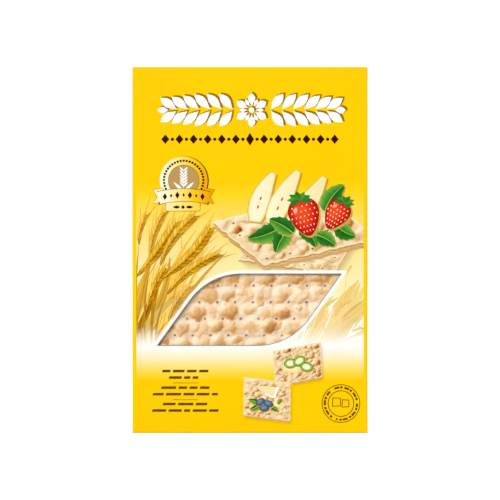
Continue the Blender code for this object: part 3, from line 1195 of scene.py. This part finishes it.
def strawberry(layer, middle, wide, tall, turn):
    """A ripe berry, broad at its calyx, with a highlight and rows of pale seeds."""
    tilt = Matrix.Rotation(math.radians(turn), 2)

    def on_berry(across, up):
        narrowing = 0.80 + 0.28 * up
        return Vector(middle) + tilt @ Vector((across * narrowing * wide / 2, up * tall / 2))

    angles = [math.tau * step / 36 for step in range(36)]
    outline = [on_berry(math.sin(angle), math.cos(angle)) for angle in angles]
    ink_shade(layer, outline, (0.7, -0.8))
    ink_round(layer, outline, (0.1, 0.5, 0.72), RED)
    for row in range(6):
        for column in range(-3, 4):
            across = (column + 0.5 * (row % 2)) * 0.28
            up = 0.62 - row * 0.26
            if across**2 + up**2 < 0.72:
                seed = on_berry(across, up)
                ink(layer, leaf(seed, seed + tilt @ Vector((0, -0.85)), 0.5), 0.75, colour=CREAM)
    highlight = oval(on_berry(-0.42, 0.42), wide * 0.07, wide * 0.12, turn - 25, 12)
    ink_round(layer, highlight, (0.7, 0.9, 1.0), RED)
    crown = on_berry(0, 0.9)
    for sepal in range(7):
        lean = math.radians(turn + 90 + (sepal - 3) * 34)
        reach = wide * (0.42 - 0.03 * abs(sepal - 3))
        tip = crown + Vector((math.cos(lean), math.sin(lean) * 0.7 - 0.1)) * reach
        ink(layer, leaf(crown, tip, wide * 0.15), 0.35 + 0.1 * (sepal % 3), colour=GREEN)


def pear_slice(layer, base, tip, wide, bow):
    """A slice cut lengthways, with its skin as a darker rim and a core near its broad end."""
    steps = 14
    path = arc(base, tip, bow, steps)
    shares = [step / steps for step in range(steps + 1)]
    bulges = [wide / 2 * math.sin(math.pi * share) ** 0.55 * (1.1 - 0.6 * share) for share in shares]
    left, right = (beside(path, [side * bulge for bulge in bulges])[1:-1] for side in (1, -1))
    outline = [*left, *reversed(right)]
    ink_shade(layer, outline, (0.5, -0.5))
    ink(layer, outline, 0.1, colour=CREAM)
    ink_band(layer, grown(outline, -0.35), grown(outline, -1.1), (0.45, 0.85), colour=CREAM)
    ink(layer, grown(outline, -1.1), lambda point: 0.95 - 0.02 * (point.x - base[0]), colour=CREAM)
    core, hollow = oval(path[5], 1.6, 0.9, 60, 16), oval(path[5], 1.0, 0.5, 60, 16)
    ink_band(layer, core, hollow, (0.85, 0.45), colour=CREAM)
    for seed in (4, 6):
        ink(layer, leaf(path[seed], path[seed + 1], 0.8), 0.15, colour=CRUST)


layer = start_print()
cracker(layer, (21.5, 83.5), 43, 20, -9, 4.0, 4, 0.4)
cracker(layer, (20, 90.5), 52, 24, 13, -9.0, 4, 0.45, shadow=False)
pear_slice(layer, (2, 92), (12, 118), 11, 2)
pear_slice(layer, (8.5, 91), (23, 119), 11.5, 1)
pear_slice(layer, (16, 91), (34.5, 116.5), 11, -1)
mint_leaf(layer, (17, 94), (-2.5, 86.5), 9, 1.5)
mint_leaf(layer, (19, 92), (11.5, 79.5), 8.5, -1.5)
mint_leaf(layer, (33, 98), (43, 111.5), 9, 1.5)
mint_leaf(layer, (21, 95), (30, 82.0), 9, 1.5)
mint_leaf(layer, (38, 94), (48, 88), 8, -1.5)
strawberry(layer, (38.5, 97.5), 13, 14.5, -32)
strawberry(layer, (24.5, 96.5), 16.5, 17.5, 16)
mint_leaf(layer, (20, 88.5), (7.5, 95.5), 8, -1)
mint_leaf(layer, (29, 88.5), (38.5, 83), 7.5, 1)
trim(layer, 1)
clear_window(layer)
lay_print(layer, "serving_picture", food_inks)


# Small pictures. Two topped sheets at the lower right: one with cucumber on soft cheese, one
# with a wedge of cheese, plums, leaves and a curl of cream.
layer = start_print()
cracker(layer, (21.2, 30.8), 21.5, 15.5, 11, 1.2, 5, 0.7)
soft_cheese = wavy([(14.5, 27.5), (20, 26.5), (25.5, 30), (20.5, 33.5), (15, 32.5)], 0.45, 4)
ink_round(layer, soft_cheese, (0.35, 0.75, 0.95), CREAM)
for place, turn in (((18.0, 31.2), 10), ((22.0, 32.2), 30), ((25.2, 29.6), -10)):
    skin, flesh, core = (
        oval(place, half_wide, half_tall, turn, 24)
        for half_wide, half_tall in ((2.9, 2.1), (2.55, 1.8), (1.7, 1.15))
    )
    ink_shade(layer, skin, (0.3, -0.4))
    ink(layer, skin, 0.35, colour=GREEN)
    ink_band(layer, flesh, core, (0.88, 1.0), colour=GREEN)
    ink(layer, core, 0.95, colour=CREAM)
cracker(layer, (7.6, 15.2), 21.0, 17.0, -7, -1.0, 5, 0.65)
wedge = [Vector(corner) for corner in ((1.6, 21.4), (12.4, 20.6), (10.8, 15.8), (6.6, 17.6))]
ink_shade(layer, wedge, (0.3, -0.5))
ink(layer, wavy(wedge, 0.15, 4), 0.62, colour=CREAM)
ink_stroke(layer, [wedge[1], wedge[2]], 1.0, colour=WHITE)
ink_stroke(layer, [wedge[2], wedge[3]], 0.7, colour=WHITE)
mint_leaf(layer, (5, 13), (-0.6, 10.4), 2.6, 0.4)
mint_leaf(layer, (5, 14), (-1.0, 15.2), 2.6, 0.4)
mint_leaf(layer, (9, 12), (12.8, 9.4), 2.4, 0.4)
for place, turn in (((4.6, 14.0), 30), ((8.2, 13.2), -20), ((6.4, 11.2), 5)):
    plum = oval(place, 2.2, 1.5, turn, 20)
    ink_shade(layer, plum, (0.25, -0.35))
    ink_round(layer, plum, (0.0, 0.45, 0.95), BLUE)
ink_round(layer, oval((12.6, 13.4), 2.2, 1.7, 20, 20), (0.4, 0.8, 1.0), CREAM)
mint_leaf(layer, (12.0, 13.0), (14.6, 15.6), 1.6, 0.2)
lay_print(layer, "small_pictures", food_inks)


# Window border. A white line printed round the window, in register with the punched edge. It
# cuts off the wheat and the serving picture.
border_width = 1.35 * MM
border_tip = 0.6 * MM
layer = start_print()
inner = window_outline(tip_radius=0.02 * MM)
outer = window_outline(border_width, border_tip)
ink_band(layer, [point / MM for point in inner], [point / MM for point in outer])
lay_print(layer, "window_border", [white_ink])


# Notes and stamp. A block of small print as plain word bars with hairline rules between its
# three parts, and a ringed stamp with two portion packs.
note_ink = plain_ink("note_ink", 108, 68, 4)
noting = random.Random(3)


def word_bars(layer, middle, level, length, tall=1.15, colour=0):
    """A line of small print as a row of slanting bars, one for each word."""
    place = middle - length / 2
    while place < middle + length / 2 - 1:
        word = min(noting.uniform(2.4, 7.5), middle + length / 2 - place)
        slant = tall * 0.25
        corners = ((place, 0), (place + word, 0), (place + word + slant, tall), (place + slant, tall))
        ink(layer, [(u, level + v - tall / 2) for u, v in corners], colour=colour)
        place += word + 1.1


layer = start_print()
for level, length in ((27.7, 20.5), (24.8, 14.5), (20.3, 21.5), (17.4, 29.0), (13.0, 20.0), (10.1, 29.5)):
    word_bars(layer, -29.0, level, length)
for level in (22.4, 14.9):
    ink_stroke(layer, [(-34.4, level), (-23.2, level)], 0.22)
stamp_middle = Vector((40.6, 13.2))
stamp_rings = (8.6, 5.9)
stamp_line = 0.36
stamp_words = Vector((7.2, 0))
pack_corners = ((-1, -1), (1, -0.9), (0.95, 1), (-0.9, 1.05))
for radius in stamp_rings:
    rims = (oval(stamp_middle, reach, reach, sides=72) for reach in (radius, radius - stamp_line))
    ink_band(layer, *rims)
for dash in range(30):
    turns = (12 * dash, 12 * dash + 6 + 3 * (dash % 3))
    ends = [stamp_middle + Matrix.Rotation(math.radians(turn), 2) @ stamp_words for turn in turns]
    if dash % 10:
        ink_stroke(layer, arc(*ends, -0.04, 3), 0.95)
for slip, size in (((-2.0, 0.6), 2.0), ((2.0, 0.0), 1.75)):
    pack = [stamp_middle + Vector(slip) + Vector(corner) * size for corner in pack_corners]
    ink_band(layer, pack, grown(pack, -0.5))
lay_print(layer, "notes", [note_ink])


# Back and side panels. The back has the front's fading ground, an ear ornament, a ruled table
# and a block of small print. The sides are plain yellow: the right one has an ear and a table,
# and the left one has an ear and a row of upright stripes.
def plain_yellow(tree):
    return yellow


side_white = plain_ink("side_white", 255, 250, 232, plain_yellow)
side_brown = plain_ink("side_brown", 92, 52, 0, plain_yellow)


def ruled_table(layer, middle, wide, top, rows, pitch):
    """A white field with a brown frame, a rule under each row, and bars for its entries."""
    left, right = middle - wide / 2, middle + wide / 2
    field = rounded_outline(rectangle(left, top - rows * pitch, right, top), [1.2] * 4, 5)
    ink(layer, grown(field, 0.25), colour=1)
    ink(layer, field)
    for row in range(rows):
        level = top - (row + 0.5) * pitch
        if row:
            rule = [(left + 1, level + pitch / 2), (right - 1, level + pitch / 2)]
            ink_stroke(layer, rule, 0.2, colour=1)
        for start, length in ((-0.44, noting.uniform(0.25, 0.5)), (0.28, noting.uniform(0.08, 0.16))):
            bar_left = middle + start * wide
            bar = rectangle(bar_left, level - 0.5, bar_left + length * wide, level + 0.5)
            ink(layer, bar, colour=1)


def standing_ear(layer, foot, tall, wide, colour=0):
    """An upright ear ornament: kernels in pairs up a straight stalk, and two leaves."""

    def on_ear(across, up):
        return Vector(foot) + Vector((across * wide, up * tall))

    ink_stroke(layer, [on_ear(0, 0), on_ear(0, 0.9)], wide * 0.06, colour=colour)
    for pair in range(7):
        up = 0.36 + 0.08 * pair
        for side in (-1, 1):
            kernel = leaf(on_ear(0, up), on_ear(side * 0.42, up + 0.12), wide * 0.17)
            ink(layer, kernel, colour=colour)
    ink(layer, leaf(on_ear(0, up + 0.03), on_ear(0, up + 0.16), wide * 0.17), colour=colour)
    for side in (-1, 1):
        ink(layer, leaf(on_ear(0, 0.04), on_ear(side * 1.1, 0.34), wide * 0.3), colour=colour)


layer = start_print(bare_panel=True)
ruled_table(layer, 0, 78, 126, 9, 5.2)
standing_ear(layer, (0, 130), 26, 11)
for level in range(5):
    word_bars(layer, 0, 66 - level * 4.2, 70 - 6 * (level % 2), 1.3, colour=1)
lay_print(layer, "back_print", [white_ink, note_ink], back_panel)

layer = start_print(bare_panel=True)
standing_ear(layer, (0, 112), 34, 14)
ruled_table(layer, 0, 38, 96, 8, 5.0)
lay_print(layer, "right_print", [side_white, side_brown], right_panel)

layer = start_print(bare_panel=True)
standing_ear(layer, (0, 112), 34, 14)
for stripe in range(18):
    wide = (0.9, 0.5, 0.7)[stripe * 5 % 3]
    place = -15 + stripe * 1.75
    ink(layer, rectangle(place, 20, place + wide, 36), colour=1)
lay_print(layer, "left_print", [side_white, side_brown], left_panel)


# Studio. A plain pale floor, an even white surround, a soft key from the upper left and a
# weaker fill from each of the other sides.
floor_size = 6.0
floor_glow = 0.76
room_light = 0.40
backdrop_lift = 0.65
bpy.ops.mesh.primitive_plane_add(size=floor_size)
floor = bpy.context.object
floor.name = "studio_floor"
pale_floor, tree, shader = new_material("pale_floor", 0.9)
seen = tree.nodes.new("ShaderNodeLightPath").outputs["Is Camera Ray"]
shader.inputs["Base Color"].default_value = display(190, 190, 190)
shader.inputs["Specular IOR Level"].default_value = 0.0
shader.inputs["Emission Color"].default_value = (1, 1, 1, 1)
tree.links.new(add_math(tree, "MULTIPLY", seen, floor_glow), shader.inputs["Emission Strength"])
floor.data.materials.append(pale_floor)

world = bpy.data.worlds.new("studio")
bpy.context.scene.world = world
world.use_nodes = True
tree = world.node_tree
seen = tree.nodes.new("ShaderNodeLightPath").outputs["Is Camera Ray"]
surround = add_math(tree, "MULTIPLY_ADD", seen, backdrop_lift, room_light)
tree.links.new(surround, tree.nodes["Background"].inputs["Strength"])
tree.nodes["Background"].inputs["Color"].default_value = (1, 1, 1, 1)


def add_sun(name, azimuth, elevation, strength, softness):
    """A distant soft lamp; azimuth is counted from the front panel's side towards +X."""
    lamp = bpy.data.lights.new(name, "SUN")
    lamp.energy = strength
    lamp.angle = math.radians(softness)
    sun = bpy.data.objects.new(name, lamp)
    turn = math.radians(azimuth)
    lift = math.radians(elevation)
    towards = Vector((math.sin(turn) * math.cos(lift), -math.cos(turn) * math.cos(lift), math.sin(lift)))
    sun.rotation_euler = towards.to_track_quat("Z", "Y").to_euler()
    bpy.context.scene.collection.objects.link(sun)


add_sun("key", -24, 24, 2.28, 28)
add_sun("right_fill", 108, 15, 1.5, 30)
add_sun("back_fill", 205, 25, 1.2, 40)

camera_distance = 0.8375
framed_height = 223.2 * MM
camera = bpy.data.cameras.new("camera")
camera.sensor_width = 36
camera.lens = camera.sensor_width * (camera_distance - half_depth) / framed_height
eye = bpy.data.objects.new("camera", camera)
eye.location = (0, -camera_distance, height / 2)
eye.rotation_euler = (math.pi / 2, 0, 0)
bpy.context.scene.collection.objects.link(eye)
bpy.context.scene.camera = eye
bpy.context.scene.view_settings.view_transform = "Standard"
